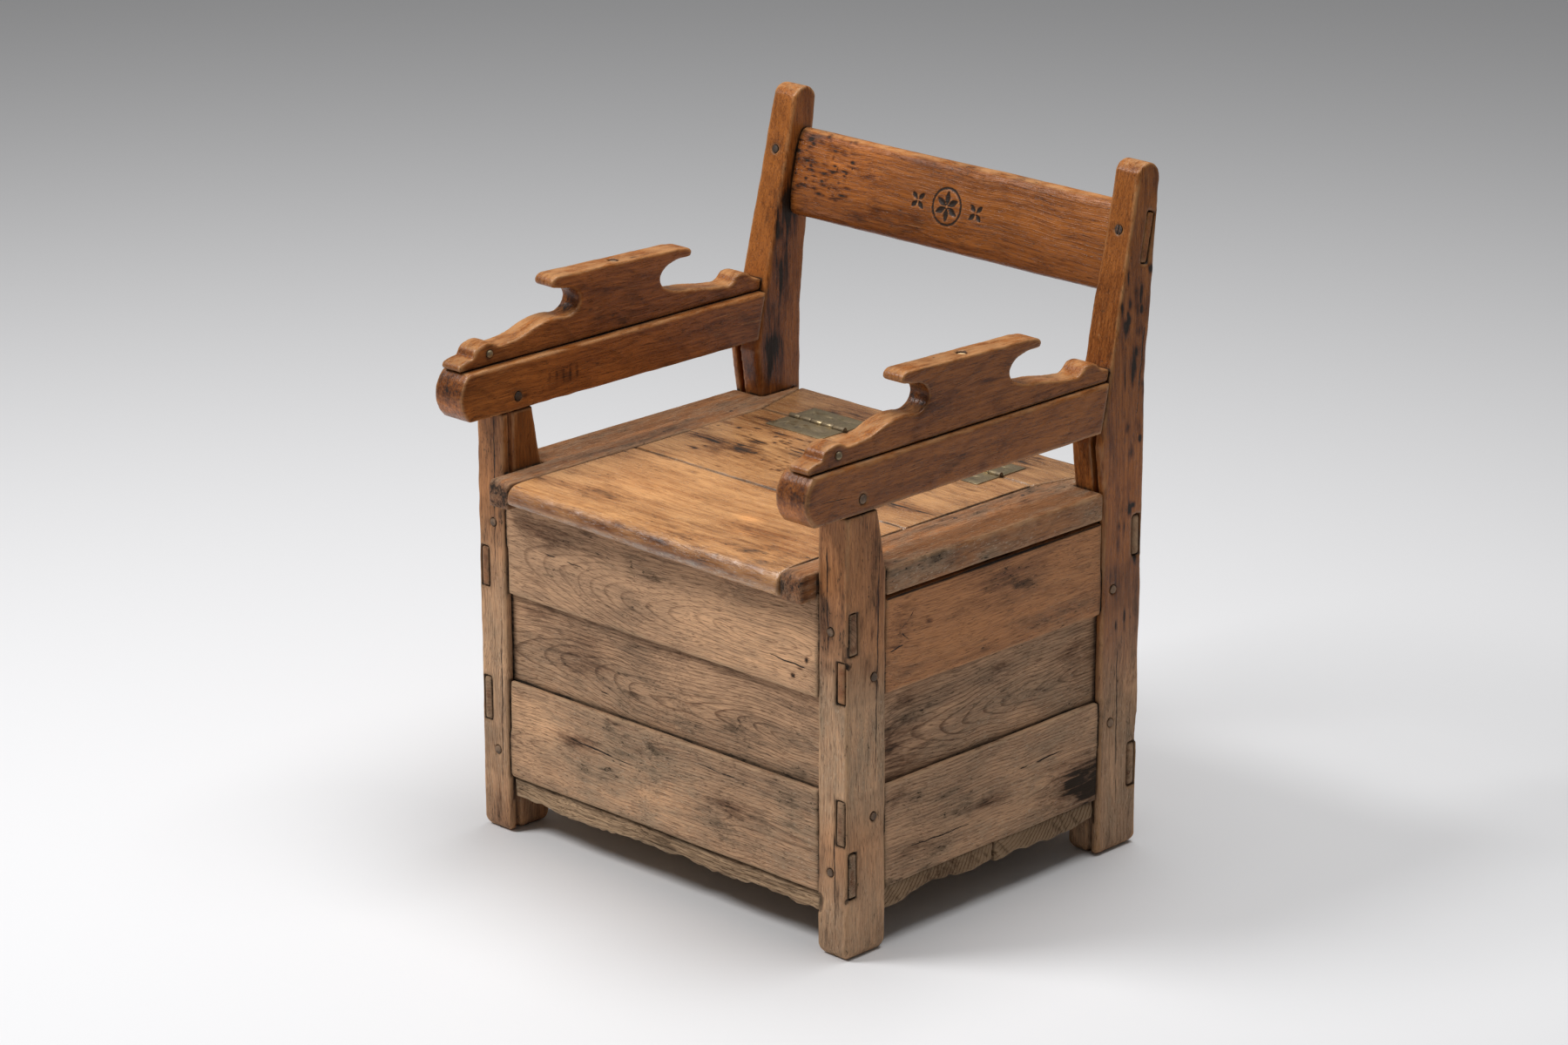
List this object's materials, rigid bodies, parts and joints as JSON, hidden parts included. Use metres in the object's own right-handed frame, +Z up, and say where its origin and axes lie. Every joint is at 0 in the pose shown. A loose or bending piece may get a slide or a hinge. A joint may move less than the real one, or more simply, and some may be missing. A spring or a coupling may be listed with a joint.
{
  "type": "box armchair",
  "caption": "Rustic wooden box armchair with frame-and-panel sides, a hinged seat lid over a storage box, arms with scooped riser boards and a leaning back with one crest rail.",
  "frame": {"origin": "on the floor, at the middle of the chair's overall box in plan", "axes": "+Z up, the chair faces -Y, +X to the right seen from the front"},
  "size_m": [0.6008, 0.592, 0.83],
  "materials": {
    "waxed_wood": "waxed, worn, satin",
    "seat_wood": "polished by use, satin",
    "dusty_wood": "dry, dusty, matt",
    "raw_wood": "raw, rough",
    "peg_wood": "end grain, matt",
    "aged_brass": "dull, tarnished"
  },
  "bodies": {
    "chair_frame": {"arm_left": "waxed_wood", "arm_peg_left": "peg_wood", "arm_peg_right": "peg_wood", "arm_right": "waxed_wood", "arm_riser_left": "waxed_wood", "arm_riser_right": "waxed_wood", "back_bottom_rail": "dusty_wood", "back_panel": "dusty_wood", "back_post_left": "waxed_wood", "back_post_right": "waxed_wood", "back_top_rail": "dusty_wood", "crest_peg_left": "peg_wood", "crest_peg_right": "peg_wood", "crest_rail": "waxed_wood", "drawbore_peg_back_bottom_left": "peg_wood", "drawbore_peg_back_bottom_right": "peg_wood", "drawbore_peg_back_top_left": "peg_wood", "drawbore_peg_back_top_right": "peg_wood", "drawbore_peg_front_bottom_left": "peg_wood", "drawbore_peg_front_bottom_right": "peg_wood", "drawbore_peg_front_top_left": "peg_wood", "drawbore_peg_front_top_right": "peg_wood", "drawbore_peg_side_left_bottom_back": "peg_wood", "drawbore_peg_side_left_bottom_front": "peg_wood", "drawbore_peg_side_left_top_back": "peg_wood", "drawbore_peg_side_left_top_front": "peg_wood", "drawbore_peg_side_right_bottom_back": "peg_wood", "drawbore_peg_side_right_bottom_front": "peg_wood", "drawbore_peg_side_right_top_back": "peg_wood", "drawbore_peg_side_right_top_front": "peg_wood", "floor_board_back": "raw_wood", "floor_board_front": "raw_wood", "front_bottom_rail": "dusty_wood", "front_panel": "dusty_wood", "front_post_left": "dusty_wood", "front_post_right": "dusty_wood", "front_top_rail": "dusty_wood", "hinge_fixed_leaf_left": "aged_brass", "hinge_fixed_leaf_right": "aged_brass", "hinge_pin_left": "aged_brass", "hinge_pin_right": "aged_brass", "riser_dowel_left": "peg_wood", "riser_dowel_right": "peg_wood", "riser_rivet_left": "aged_brass", "riser_rivet_right": "aged_brass", "seat_back_strip": "seat_wood", "seat_bearer_left": "seat_wood", "seat_bearer_right": "seat_wood", "side_bottom_rail_left": "dusty_wood", "side_bottom_rail_right": "dusty_wood", "side_panel_left": "dusty_wood", "side_panel_right": "dusty_wood", "side_top_rail_left": "dusty_wood", "side_top_rail_right": "dusty_wood"},
    "seat_lid": {"lid_front_board": "seat_wood", "lid_rear_board": "seat_wood", "lid_batten_left": "raw_wood", "lid_batten_right": "raw_wood", "hinge_lid_leaf_left": "aged_brass", "hinge_lid_leaf_right": "aged_brass"}
  },
  "joints": [
    {"name": "seat_lid_hinge", "type": "hinge", "parent": "chair_frame", "child": "seat_lid", "pos_m": [0, 0.164, 0.454], "axis": [-1, 0, 0], "range_deg": [0, 104]}
  ]
}
